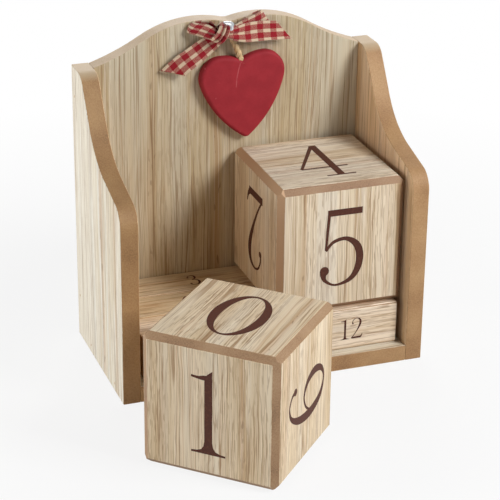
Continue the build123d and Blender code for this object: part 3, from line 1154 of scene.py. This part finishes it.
class TreeMaker(Wiring):
    """A Geometry Nodes tree, with short calls for its nodes and its named inputs."""

    def __init__(self, name: str) -> None:
        """Starts a tree with one geometry in and one out.

        Args:
            name: The tree's name.
        """
        self.tree = bpy.data.node_groups.new(name, "GeometryNodeTree")
        self.tree.interface.new_socket("Geometry", in_out="INPUT", socket_type="NodeSocketGeometry")
        self.tree.interface.new_socket("Geometry", in_out="OUTPUT", socket_type="NodeSocketGeometry")
        self.start = self.tree.nodes.new("NodeGroupInput")
        self.end = self.tree.nodes.new("NodeGroupOutput")
        self.keys: dict[str, str] = {}

    def size(self, name: str, kind: str = "NodeSocketFloat") -> bpy.types.NodeSocket:
        """Adds a named input.

        Args:
            name: Its name.
            kind: Its socket's type.

        Returns:
            Its socket.
        """
        item = self.tree.interface.new_socket(name, in_out="INPUT", socket_type=kind)
        self.keys[name] = item.identifier
        return self.start.outputs[name]

    def add(self, kind: str, **values: Any) -> bpy.types.Node:
        """Adds a node and feeds its sockets.

        Args:
            kind: The node's type.
            **values: Values or sockets, by socket name with underscores for blanks.

        Returns:
            The node.
        """
        node = self.tree.nodes.new(kind)
        for name, value in values.items():
            self.feed(node.inputs[name.replace("_", " ")], value)
        return node

    def store(self, geometry: Any, name: str, value: Any) -> bpy.types.NodeSocket:
        """Keeps a number on the points of a geometry.

        Args:
            geometry: The geometry.
            name: The name that the finish reads the number by.
            value: The number at each point.

        Returns:
            The geometry with the number.
        """
        node = self.add("GeometryNodeStoreNamedAttribute", Geometry=geometry, Name=name, Value=value)
        return node.outputs[0]

    def scatter(self, low: Any, high: Any, seed: Any) -> bpy.types.NodeSocket:
        """Random numbers, or random vectors where the limits are vectors.

        Args:
            low: The lower limit.
            high: The upper limit.
            seed: Which draw this is.

        Returns:
            The numbers or vectors.
        """
        node = self.tree.nodes.new("FunctionNodeRandomValue")
        vectors = isinstance(low, tuple)
        node.data_type = "FLOAT_VECTOR" if vectors else "FLOAT"
        limits = [s for s in node.inputs if s.type == ("VECTOR" if vectors else "VALUE")]
        for socket, value in zip(limits, (low, high)):
            self.feed(socket, value)
        self.feed(node.inputs["Seed"], seed)
        return node.outputs[0 if vectors else 1]

    def close(self, geometry: Any, material: bpy.types.Material) -> "TreeMaker":
        """Ends the tree in plain geometry with one finish.

        Args:
            geometry: What the tree has made.
            material: Its finish.

        Returns:
            The finished tree.
        """
        real = self.add("GeometryNodeRealizeInstances", Geometry=geometry)
        coated = self.add("GeometryNodeSetMaterial", Geometry=real.outputs[0], Material=material)
        self.tree.links.new(coated.outputs[0], self.end.inputs[0])
        return self

    def vector(self, operation: str, *values: Any) -> bpy.types.NodeSocket:
        """One sum of vectors.

        Args:
            operation: Which sum it is.
            *values: The vectors, and last the number in a product with a number.

        Returns:
            What comes out.
        """
        node = self.tree.nodes.new("ShaderNodeVectorMath")
        node.operation = operation
        sockets = (node.inputs[0], node.inputs["Scale"]) if operation == "SCALE" else node.inputs
        for socket, value in zip(sockets, values):
            self.feed(socket, value)
        return node.outputs[0]

    def apply(self, piece: bpy.types.Object, **sizes: Any) -> bpy.types.Object:
        """Runs the tree on an object and returns the plain mesh piece.

        Args:
            piece: The object that carries the starting geometry.
            **sizes: The named inputs' values, with underscores for blanks.

        Returns:
            The plain mesh object.
        """
        modifier = piece.modifiers.new(self.tree.name, "NODES")
        modifier.node_group = self.tree
        for name, value in sizes.items():
            modifier[self.keys[name.replace("_", " ")]] = value
        return bake_modifiers(piece)


def line_object(name: str, points: Iterable[Sequence[float]]) -> bpy.types.Object:
    """Makes a plain curve object.

    Args:
        name: Its name.
        points: The points that it runs through, in millimetres.

    Returns:
        The object, linked into the scene.
    """
    curve = bpy.data.curves.new(name, "CURVE")
    curve.dimensions = "3D"
    places = [Vector(p) * MM for p in points]
    spline = curve.splines.new("POLY")
    spline.points.add(len(places) - 1)
    for point, place in zip(spline.points, places):
        point.co = (*place, 1.0)
    item = bpy.data.objects.new(name, curve)
    bpy.context.scene.collection.objects.link(item)
    return item


@dataclass
class HangingHeart:
    """The painted heart and the short length of twine that it hangs from.

    Its hairs are counted by the square metre of fibre.
    """

    path: tuple[Point, ...] = (
        (-0.9, 25.4, 146.4), (0.4, 25.6, 143.4), (2.0, 26.4, 140.6), (3.4, 27.1, 137.4),
        (4.4, 27.3, 134.4), (5.0, 27.3, 131.4), (5.3, 27.3, 128.2),
    )
    plies: int = 3
    turns: float = 2.1
    lay_radius: float = 0.72
    ply_radius: float = 0.76
    hairs: float = 270000.0
    hair_tip: float = 0.01
    hair_root: float = 0.04
    hair_length: float = 1.6

    def dress(self, paint: PaintFinish) -> None:
        """Paints the heart."""
        coat("heart", paint.material("heart_paint"))
        log.info("heart: painted")

    def twist_tree(self, jute: bpy.types.Material) -> TreeMaker:
        """Builds the tree that twists plies round a line and adds loose hairs.

        Args:
            jute: The fibre's finish.

        Returns:
            The tree.
        """
        maker = TreeMaker("twisted_twine")
        plies, turns = maker.size("Plies", "NodeSocketInt"), maker.size("Turns")
        lay, thick = maker.size("Lay Radius"), maker.size("Ply Radius")
        hairs, seed = maker.size("Hairs"), maker.size("Seed", "NodeSocketInt")
        line = maker.add("GeometryNodeResampleCurve", Curve=maker.start.outputs[0], Count=72)
        copies = maker.tree.nodes.new("GeometryNodeDuplicateElements")
        copies.domain = "SPLINE"
        maker.feed(copies.inputs["Geometry"], line.outputs[0])
        maker.feed(copies.inputs["Amount"], plies)
        run = maker.add("GeometryNodeSplineParameter")
        share = maker.math("DIVIDE", copies.outputs["Duplicate Index"], plies)
        angle = maker.times(maker.plus(maker.times(run.outputs["Factor"], turns), share), 2 * math.pi)
        normal = maker.add("GeometryNodeInputNormal").outputs[0]
        tangent = maker.add("GeometryNodeInputTangent").outputs[0]
        side = maker.vector("CROSS_PRODUCT", tangent, normal)
        swell = maker.plus(0.84, maker.times(run.outputs["Factor"], 0.42))
        reach = maker.times(lay, swell)
        sideways = maker.vector("SCALE", side, maker.times(maker.math("SINE", angle), reach))
        outwards = maker.vector("SCALE", normal, maker.times(maker.math("COSINE", angle), reach))
        shift = maker.vector("ADD", outwards, sideways)
        moved = maker.add("GeometryNodeSetPosition", Geometry=copies.outputs[0], Offset=shift)
        lines = maker.store(moved.outputs[0], "along", maker.plus(run.outputs["Length"], share))
        circle = maker.add("GeometryNodeCurvePrimitiveCircle", Resolution=12, Radius=thick)
        round_run = maker.add("GeometryNodeSplineParameter")
        rim = maker.store(circle.outputs["Curve"], "around", round_run.outputs["Factor"])
        tube = maker.add("GeometryNodeCurveToMesh", Curve=lines, Profile_Curve=rim, Fill_Caps=True)
        if "Scale" in tube.inputs:
            maker.feed(tube.inputs["Scale"], swell)
        soft = maker.add("GeometryNodeSetShadeSmooth", Geometry=tube.outputs[0])
        spots = maker.add("GeometryNodeDistributePointsOnFaces", Mesh=tube.outputs[0], Density=hairs,
                          Seed=seed)
        hair = maker.add("GeometryNodeMeshCone", Vertices=4, Radius_Top=self.hair_tip * MM,
                         Radius_Bottom=self.hair_root * MM, Depth=self.hair_length * MM)
        tilt = maker.scatter((-1.1, -1.1, -3.1), (1.1, 1.1, 3.1), seed)
        turned = maker.add("FunctionNodeRotateRotation", Rotation=spots.outputs["Rotation"], Rotate_By=tilt)
        set_out = maker.add("GeometryNodeInstanceOnPoints", Points=spots.outputs["Points"],
                            Instance=hair.outputs["Mesh"], Rotation=turned.outputs[0])
        both = maker.tree.nodes.new("GeometryNodeJoinGeometry")
        for part in (soft, set_out):
            maker.tree.links.new(part.outputs[0], both.inputs[0])
        return maker.close(both.outputs[0], jute)

    def hang(self, jute: bpy.types.Material) -> None:
        """Makes the twine in place of its plain solid.

        Args:
            jute: The fibre's finish.
        """
        tree = self.twist_tree(jute)
        twine = tree.apply(line_object("twine", through(self.path, 8)), Plies=self.plies, Turns=self.turns,
                           Lay_Radius=self.lay_radius * MM, Ply_Radius=self.ply_radius * MM,
                           Hairs=self.hairs, Seed=4)
        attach(twine, "heart")
        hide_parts("hanger_twine")
        log.info("twine: %d faces", len(twine.data.polygons))


@dataclass(frozen=True)
class Station:
    """One place along a ribbon: its upper and lower edge, how deep it is gathered and how far it cups."""

    upper: Point
    lower: Point
    gather: float = 0.0
    cup: float = 0.0


@dataclass
class RibbonPiece:
    """A length of ribbon, lofted through stations and given its thickness."""

    name: str
    node: str
    stations: tuple[Station, ...]
    held: str = "gathered"
    pleats: float = 2.0
    steps: int = 9
    columns: int = 20
    thickness: float = 0.35
    width: float = 10.0
    start: float = 0.0

    def build(self, cloth: bpy.types.Material) -> bpy.types.Object:
        """Args:
            cloth: The ribbon's finish.

        Returns:
            The piece.
        """
        rows = through([(*s.upper, *s.lower, s.gather, s.cup) for s in self.stations], self.steps)
        uppers, lowers = [Vector(r[0:3]) for r in rows], [Vector(r[3:6]) for r in rows]
        runs = [[self.start], [self.start]]
        for run, edge in zip(runs, (uppers, lowers)):
            for a, b in zip(edge, edge[1:]):
                run.append(run[-1] + (b - a).length)
        vertices, faces, cloth_places = [], [], []
        last = len(rows) - 1
        for i, (*_, gather, cup) in enumerate(rows):
            after, before = min(i + 1, last), max(i - 1, 0)
            ahead = (uppers[after] + lowers[after]) - (uppers[before] + lowers[before])
            out = (uppers[i] - lowers[i]).cross(ahead).normalized()
            for k in range(self.columns + 1):
                t = k / self.columns
                fold = gather * math.cos(2 * math.pi * self.pleats * t) + cup * (1 - (2 * t - 1) ** 2)
                vertices.append((lowers[i].lerp(uppers[i], t) + out * fold) * MM)
                along = runs[1][i] + (runs[0][i] - runs[1][i]) * t
                cloth_places.append((t, along / self.width))
        wide = self.columns + 1
        for i in range(last):
            for k in range(self.columns):
                near, far = i * wide + k, (i + 1) * wide + k
                faces.append((near, near + 1, far + 1, far))
        piece = new_piece(self.name, vertices, faces, cloth, smooth=True)
        layer = piece.data.uv_layers.new(name="cloth")
        for loop in piece.data.loops:
            layer.data[loop.index].uv = cloth_places[loop.vertex_index]
        shell = piece.modifiers.new("thickness", "SOLIDIFY")
        shell.thickness = self.thickness * MM
        shell.offset = 0.0
        shell.use_even_offset = True
        piece = bake_modifiers(piece)
        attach(piece, "case")
        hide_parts(self.node)
        return piece


@dataclass
class Bow:
    """The gingham bow: a knot, two loops and two tails of one ribbon, fixed by a dab of glue."""

    right_tail: tuple[Station, ...] = (
        Station((-6.2, 22.0, 149.9), (-6.2, 22.0, 147.2), 0.5),
        Station((-3.0, 20.8, 150.8), (-3.4, 20.6, 146.4), 0.7),
        Station((0.7, 21.5, 151.5), (0.3, 20.9, 144.9), 0.5, 0.3),
        Station((6.0, 23.6, 152.2), (6.3, 21.8, 143.6), 0.2, 0.5),
        Station((13.0, 25.2, 152.1), (13.2, 23.3, 143.1), 0.0, 0.5),
        Station((18.2, 26.0, 151.6), (20.4, 24.2, 142.7), 0.0, 0.4),
        Station((21.6, 26.4, 151.1), (29.0, 25.2, 142.1), 0.0, 0.3),
    )
    left_tail: tuple[Station, ...] = (
        Station((-7.2, 22.8, 149.4), (-6.0, 22.2, 146.6), 0.5),
        Station((-11.0, 23.6, 148.0), (-7.2, 22.8, 143.2), 0.6),
        Station((-14.2, 25.2, 146.7), (-9.3, 24.4, 140.2), 0.3, 0.3),
        Station((-22.0, 26.0, 141.7), (-15.3, 24.3, 135.5), 0.0, 0.3),
        Station((-27.8, 27.2, 137.5), (-20.2, 24.5, 131.9), 0.0, 0.2),
        Station((-33.7, 28.4, 131.9), (-22.7, 25.0, 129.5), 0.0, 0.1),
    )
    left_loop: tuple[Station, ...] = (
        Station((-7.4, 23.1, 151.2), (-8.6, 23.6, 147.4), 0.6),
        Station((-8.7, 25.0, 153.0), (-10.4, 27.3, 147.3), 0.6, -0.4),
        Station((-10.4, 27.4, 153.7), (-12.9, 28.3, 147.5), 0.1, -0.4),
        Station((-13.4, 28.4, 153.9), (-15.8, 28.9, 148.1), 0.0, -0.3),
        Station((-15.7, 28.7, 153.8), (-18.9, 28.6, 148.7), 0.0, -0.4),
        Station((-17.5, 28.2, 153.8), (-20.9, 28.2, 149.2), 0.0, -0.8),
        Station((-17.4, 27.2, 153.4), (-20.5, 27.0, 148.9), 0.0, -1.2),
        Station((-15.9, 26.2, 153.2), (-18.4, 25.8, 148.4), 0.0, -1.3),
        Station((-14.1, 25.0, 153.2), (-16.0, 24.6, 147.7), 0.0, -1.2),
        Station((-12.3, 23.4, 153.0), (-13.6, 23.3, 146.8), 0.3, -0.9),
        Station((-10.9, 21.7, 152.2), (-11.7, 22.0, 146.3), 0.6, -0.5),
        Station((-9.7, 20.3, 151.1), (-10.2, 21.1, 146.7), 0.75),
    )
    right_loop: tuple[Station, ...] = (
        Station((-5.4, 22.4, 150.6), (-5.2, 22.6, 148.2), 0.7),
        Station((-1.6, 23.6, 150.8), (-1.3, 23.8, 148.2), 0.7),
        Station((1.8, 24.4, 151.9), (3.8, 25.4, 147.4), 0.5),
        Station((4.9, 25.0, 153.0), (8.5, 26.4, 146.8), 0.3),
        Station((8.2, 25.3, 154.4), (12.7, 27.0, 147.3)),
        Station((11.5, 25.6, 155.6), (16.6, 27.5, 147.8)),
        Station((13.7, 26.2, 156.5), (19.2, 27.9, 148.3)),
        Station((14.7, 27.4, 156.6), (19.9, 28.6, 148.9)),
        Station((13.7, 28.6, 156.2), (18.8, 29.2, 148.9)),
        Station((9.6, 28.8, 154.6), (14.2, 29.3, 147.6)),
        Station((5.8, 28.4, 152.6), (9.2, 29.1, 146.8), 0.2),
        Station((1.4, 26.8, 151.0), (3.8, 28.0, 147.2), 0.4),
        Station((-2.4, 24.6, 150.3), (-2.0, 25.2, 147.8), 0.7),
        Station((-5.4, 23.2, 150.2), (-5.2, 23.4, 148.0), 0.7),
    )
    knot_middle: Point = (-7.4, 20.9, 149.4)
    knot_lean: float = 58.0
    knot_half: tuple[float, float] = (4.2, 3.2)
    knot_width: float = 5.8
    knot_gather: float = 0.75
    glue_middle: Point = (-2.6, 25.6, 150.5)
    glue_reach: Point = (3.1, 4.5, 2.5)
    glue_back: float = 29.95
    loose_threads: int = 26
    thread_radius: float = 0.09
    thread_length: float = 1.1

    def knot_stations(self) -> tuple[Station, ...]:
        """Lays the band that wraps the knot, once round and a little over itself.

        Returns:
            The band's stations.
        """
        lean = math.radians(self.knot_lean)
        along = Vector((math.cos(lean), 0, math.sin(lean)))
        side = Vector((math.sin(lean), 0, -math.cos(lean)))
        stations = []
        turns = 14
        for k in range(turns + 2):
            angle = 2 * math.pi * k / turns + 0.5 * math.pi
            over = 1.0 + 0.05 * k / turns
            middle = Vector(self.knot_middle) + along * self.knot_half[0] * over * math.cos(angle)
            middle += Vector((0, 1, 0)) * self.knot_half[1] * over * math.sin(angle)
            front = 0.5 - 0.5 * math.sin(angle)
            half = side * self.knot_width / 2 * (0.8 + 0.2 * front)
            stations.append(Station(tuple(middle - half), tuple(middle + half), self.knot_gather, 0.5))
        return tuple(stations)

    def fray_tree(self, cloth: bpy.types.Material) -> TreeMaker:
        """Builds the tree that sets loose threads along a cut edge.

        Args:
            cloth: The threads' finish.

        Returns:
            The tree.
        """
        maker = TreeMaker("frayed_cut")
        count, seed = maker.size("Threads", "NodeSocketInt"), maker.size("Seed", "NodeSocketInt")
        way, thick = maker.size("Way", "NodeSocketVector"), maker.size("Thread Radius")
        points = maker.add("GeometryNodeCurveToPoints", Curve=maker.start.outputs[0], Count=count)
        thread = maker.add("GeometryNodeMeshCone", Vertices=5, Radius_Top=maker.times(thick, 0.4),
                           Radius_Bottom=thick, Depth=self.thread_length * MM)
        sway = maker.scatter((-0.5, -0.5, -0.5), (0.5, 0.5, 0.5), seed)
        aim = maker.add("FunctionNodeAlignRotationToVector", Vector=maker.vector("ADD", way, sway))
        aim.axis = "Z"
        size = maker.scatter(0.5, 1.3, maker.plus(seed, 7.0))
        set_out = maker.add("GeometryNodeInstanceOnPoints", Points=points.outputs[0],
                            Instance=thread.outputs["Mesh"], Rotation=aim.outputs[0], Scale=size)
        return maker.close(set_out.outputs[0], cloth)

    def fray(self, tree: TreeMaker, name: str, end: Station, before: Station, seed: int) -> None:
        """Frays the cut end of a tail.

        Args:
            tree: The tree that sets the threads.
            name: The piece's name.
            end: The tail's last station.
            before: The station before it.
            seed: Which of its variants this is.
        """
        upper, lower = Vector(end.upper), Vector(end.lower)
        way = ((upper + lower) - (Vector(before.upper) + Vector(before.lower))).normalized()
        edge = [lower.lerp(upper, k / 12) for k in range(13)]
        piece = tree.apply(line_object(name, edge), Threads=self.loose_threads, Seed=seed, Way=way,
                           Thread_Radius=self.thread_radius * MM)
        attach(piece, "case")
        log.info("%s: %d faces", name, len(piece.data.polygons))

    def dab_glue(self, glue: bpy.types.Material) -> None:
        """Makes the squeezed-out dab of glue that holds the knot, in place of its plain solid.

        Args:
            glue: The glue's finish.
        """
        mesh = bmesh.new()
        bmesh.ops.create_icosphere(mesh, subdivisions=4, radius=1.0)
        middle = Vector(self.glue_middle)
        for vertex in mesh.verts:
            way = vertex.co.normalized()
            lump = 1.0 + 0.12 * math.sin(3.1 * way.x + 1.3) * math.cos(2.7 * way.z)
            lump += 0.08 * math.sin(5.3 * way.y + 2 * way.x)
            shape = way * Vector(self.glue_reach) * lump
            if way.z > 0:
                shape.x += 0.9 * way.z
            place = middle + shape
            place.y = min(place.y, self.glue_back)
            vertex.co = place * MM
        bmesh.ops.recalc_face_normals(mesh, faces=mesh.faces)
        data = bpy.data.meshes.new("glue_dab")
        mesh.to_mesh(data)
        mesh.free()
        data.materials.append(glue)
        data.polygons.foreach_set("use_smooth", [True] * len(data.polygons))
        piece = bpy.data.objects.new("glue_dab", data)
        bpy.context.scene.collection.objects.link(piece)
        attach(piece, "case")
        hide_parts("glue_dot")
        log.info("glue_dab: %d faces", len(data.polygons))

    def tie(self, cloth: bpy.types.Material, glue: bpy.types.Material) -> None:
        """Makes the whole bow.

        Args:
            cloth: The ribbon's finish.
            glue: The glue's finish.
        """
        lengths = (("left_tail", self.left_tail, 2.2), ("right_tail", self.right_tail, 1.4),
                   ("left_loop", self.left_loop, 4.0), ("right_loop", self.right_loop, 3.0))
        for name, stations, start in lengths:
            RibbonPiece(f"ribbon_{name}", f"bow_{name}", stations, start=start).build(cloth)
        knot = RibbonPiece("ribbon_knot", "bow_knot", self.knot_stations(), pleats=3.0, steps=5, columns=36,
                           start=5.0)
        knot.build(cloth)
        tree = self.fray_tree(cloth)
        for name, stations, seed in (("left_tail", self.left_tail, 3), ("right_tail", self.right_tail, 5)):
            self.fray(tree, f"{name}_fray", stations[-1], stations[-2], seed)
        self.dab_glue(glue)


@dataclass
class Lamp:
    """One soft square lamp, aimed at the calendar."""

    name: str
    place: Point
    size: float
    power: float
    aim: Point = (0.0, -0.02, 0.07)

    def light(self) -> None:
        """Hangs the lamp."""
        data = bpy.data.lights.new(self.name, "AREA")
        data.shape, data.size, data.energy = "SQUARE", self.size, self.power
        lamp = bpy.data.objects.new(self.name, data)
        lamp.location = self.place
        lamp.rotation_euler = (Vector(self.aim) - Vector(self.place)).to_track_quat("-Z", "Y").to_euler()
        bpy.context.scene.collection.objects.link(lamp)


@dataclass
class Studio:
    """The camera at the photo's angle, soft lamps, a white surround and a pale floor."""

    eye: Point = (-0.26940, -0.74221, 0.40034)
    yaw: float = -19.983
    pitch: float = 23.953
    roll: float = 0.664
    lens: float = 133.09
    surround: float = 0.05
    floor_grey: float = 0.7
    floor_near: float = 0.86
    floor_fade: tuple[float, float] = (0.14, 0.36)
    lamps: tuple[Lamp, ...] = (
        Lamp("key_lamp", (0.47, -0.52, 0.565), 0.32, 6.75),
        Lamp("left_lamp", (-1.0, 0.2, 0.14), 0.5, 7.7),
        Lamp("fill_lamp", (-0.75, -0.45, 0.3), 0.6, 1.4),
        Lamp("rear_lamp", (0.3, 1.3, 0.6), 0.7, 10.0),
    )

    def set_camera(self) -> None:
        """Stands the camera where the photo's was."""
        yaw, pitch, roll = (math.radians(a) for a in (self.yaw, self.pitch, self.roll))
        turn = Matrix.Rotation(yaw, 3, "Z")
        ahead = turn @ Vector((0, math.cos(pitch), -math.sin(pitch)))
        right = turn @ Vector((1, 0, 0))
        up = right.cross(ahead)
        level, tip = math.cos(roll), math.sin(roll)
        right, up = level * right + tip * up, level * up - tip * right
        data = bpy.data.cameras.new("camera")
        data.lens, data.sensor_width = self.lens, 36.0
        data.clip_start, data.clip_end = 0.01, 50.0
        camera = bpy.data.objects.new("camera", data)
        matrix = Matrix((right, up, -ahead)).transposed().to_4x4()
        matrix.translation = Vector(self.eye)
        camera.matrix_world = matrix
        bpy.context.scene.collection.objects.link(camera)
        bpy.context.scene.camera = camera

    @staticmethod
    def seen(tree: bpy.types.NodeTree) -> bpy.types.NodeSocket:
        """Tells looks from light.

        Args:
            tree: The nodes of the surround or the floor.

        Returns:
            One where the camera, a reflection or a clear piece looks, and nought where light falls.
        """
        path = tree.nodes.new("ShaderNodeLightPath")
        total = path.outputs["Is Camera Ray"]
        for name in ("Is Glossy Ray", "Is Transmission Ray"):
            node = tree.nodes.new("ShaderNodeMath")
            node.operation = "MAXIMUM"
            tree.links.new(total, node.inputs[0])
            tree.links.new(path.outputs[name], node.inputs[1])
            total = node.outputs[0]
        return total

    @staticmethod
    def blend(tree: bpy.types.NodeTree, share: bpy.types.NodeSocket, under: bpy.types.Node,
              over: bpy.types.Node, end: str) -> None:
        """Shows one shader over another.

        Args:
            tree: The nodes of the surround or the floor.
            share: The upper shader's share.
            under: The lower shader.
            over: The upper shader.
            end: The type of the node that the tree ends in.
        """
        mixer, output = tree.nodes.new("ShaderNodeMixShader"), tree.nodes.new(end)
        for socket, value in zip(mixer.inputs, (share, under.outputs[0], over.outputs[0])):
            tree.links.new(value, socket)
        tree.links.new(mixer.outputs[0], output.inputs["Surface"])

    def set_surround(self) -> None:
        """Makes the surround white to look at and softer as a light."""
        world = bpy.data.worlds.new("surround")
        bpy.context.scene.world = world
        world.use_nodes = True
        tree = world.node_tree
        tree.nodes.clear()
        dim, white = (tree.nodes.new("ShaderNodeBackground") for _ in range(2))
        dim.inputs["Strength"].default_value = self.surround
        for node in (dim, white):
            node.inputs["Color"].default_value = (1.0, 1.0, 1.0, 1.0)
        self.blend(tree, self.seen(tree), dim, white, "ShaderNodeOutputWorld")

    def lay_floor(self) -> None:
        """Lays a pale floor that keeps the calendar's shadow."""
        material = bpy.data.materials.new("pale_floor")
        material.use_nodes = True
        tree = material.node_tree
        tree.nodes.clear()
        matt = tree.nodes.new("ShaderNodeBsdfDiffuse")
        matt.inputs["Color"].default_value = (*[self.floor_grey] * 3, 1.0)
        glow = tree.nodes.new("ShaderNodeEmission")
        spot = tree.nodes.new("ShaderNodeTexCoord")
        far = tree.nodes.new("ShaderNodeVectorMath")
        far.operation = "LENGTH"
        fade = tree.nodes.new("ShaderNodeMapRange")
        for name, value in zip(("From Min", "From Max", "To Min"), (*self.floor_fade, self.floor_near)):
            fade.inputs[name].default_value = value
        share = tree.nodes.new("ShaderNodeMath")
        share.operation = "MULTIPLY"
        tree.links.new(spot.outputs["Object"], far.inputs[0])
        tree.links.new(far.outputs["Value"], fade.inputs["Value"])
        tree.links.new(self.seen(tree), share.inputs[0])
        tree.links.new(fade.outputs[0], share.inputs[1])
        self.blend(tree, share.outputs[0], matt, glow, "ShaderNodeOutputMaterial")
        size, drop = 4.0, -0.0002
        corners = [(-size, -size, drop), (size, -size, drop), (size, size, drop), (-size, size, drop)]
        floor = new_piece("floor", corners, [(0, 1, 2, 3)], material)

    def set_up(self) -> None:
        """Sets up camera, light, surround and floor."""
        bpy.context.scene.view_settings.view_transform = "Standard"
        self.set_camera()
        self.set_surround()
        self.lay_floor()
        for lamp in self.lamps:
            lamp.light()
        log.info("studio: set up")


def main() -> None:
    """Dresses the solids, makes the soft pieces and the numerals, and sets up the studio."""
    logging.basicConfig(level=logging.INFO, format="%(name)s %(message)s")
    veneer, board = VeneerFinish(), BoardFinish()
    ink = InkFinish().material("numeral_ink")
    Case().dress(replace(veneer, cut=Cut.STRAIGHT), board)
    right_cube = NumberCube("right_cube", (33.15, -1.6, 59.9), {
        Side.FRONT: (5, 0.0), Side.TOP: (4, 0.0), Side.LEFT: (2, 180.0),
        Side.REAR: (3, 0.0), Side.RIGHT: (1, 0.0), Side.BOTTOM: (0, 0.0)}, (Side.TOP, Side.BOTTOM), seed=2.3)
    loose_cube = NumberCube("loose_cube", (-35.9, -88.426, 31.0), {
        Side.FRONT: (1, 0.0), Side.TOP: (0, 0.0), Side.RIGHT: (6, 90.0),
        Side.REAR: (2, 0.0), Side.LEFT: (7, 0.0), Side.BOTTOM: (8, 0.0)}, turn=-43.5, seed=211.9)
    brown = BoardFinish(srgb(174, 143, 110), srgb(154, 121, 89), srgb(119, 90, 65))
    # Painted light: the right cube's chamfers along its left face turn paler, standing in for light falling
    # on them.
    ruddy = BoardFinish(srgb(167, 135, 104), srgb(150, 116, 87), srgb(117, 88, 64), srgb(226, 186, 147),
                        worn=(0, 5.6, 4.9))
    for cube, leaf, edges in ((right_cube, veneer.toned(1.07, 1.08, 1.14), ruddy),
                              (loose_cube, veneer.toned(1.06, 1.03, 1.01), brown)):
        cube.dress(leaf, edges)
        cube.print_numerals(ink)
    # Painted shade and light: the middle and rear bars, in the shaded bay, get a darker copy of the veneer,
    # and the front bar, out in the light, a paler one.
    painted_shade_leaf = veneer.toned(0.9, 0.84, 0.76)
    front = MonthBar("front_bar", "front_month_bar", (0.0, -22.95, 18.2), (12, 9, 10, 11), 38.75, seed=7.0)
    middle = MonthBar("middle_bar", "middle_month_bar", (0.0, -1.8, 18.2), (5, 6, 7, 8), 30.0, seed=77.0)
    rear = MonthBar("rear_bar", "rear_month_bar", (0.0, 19.35, 18.2), (1, 3, 2, 4), 21.0, seed=147.0)
    for month_bar, leaf in ((front, veneer.toned(1.16, 1.15, 1.24)), (middle, painted_shade_leaf), (rear, painted_shade_leaf)):
        month_bar.dress(leaf, board)
        month_bar.print_numbers(ink)
    heart = HangingHeart()
    heart.dress(PaintFinish())
    heart.hang(JuteFinish().material("twisted_jute"))
    Bow().tie(RibbonFinish().material("gingham"), GlueFinish().material("hot_glue"))
    Studio().set_up()


if __name__ == "__main__":
    main()
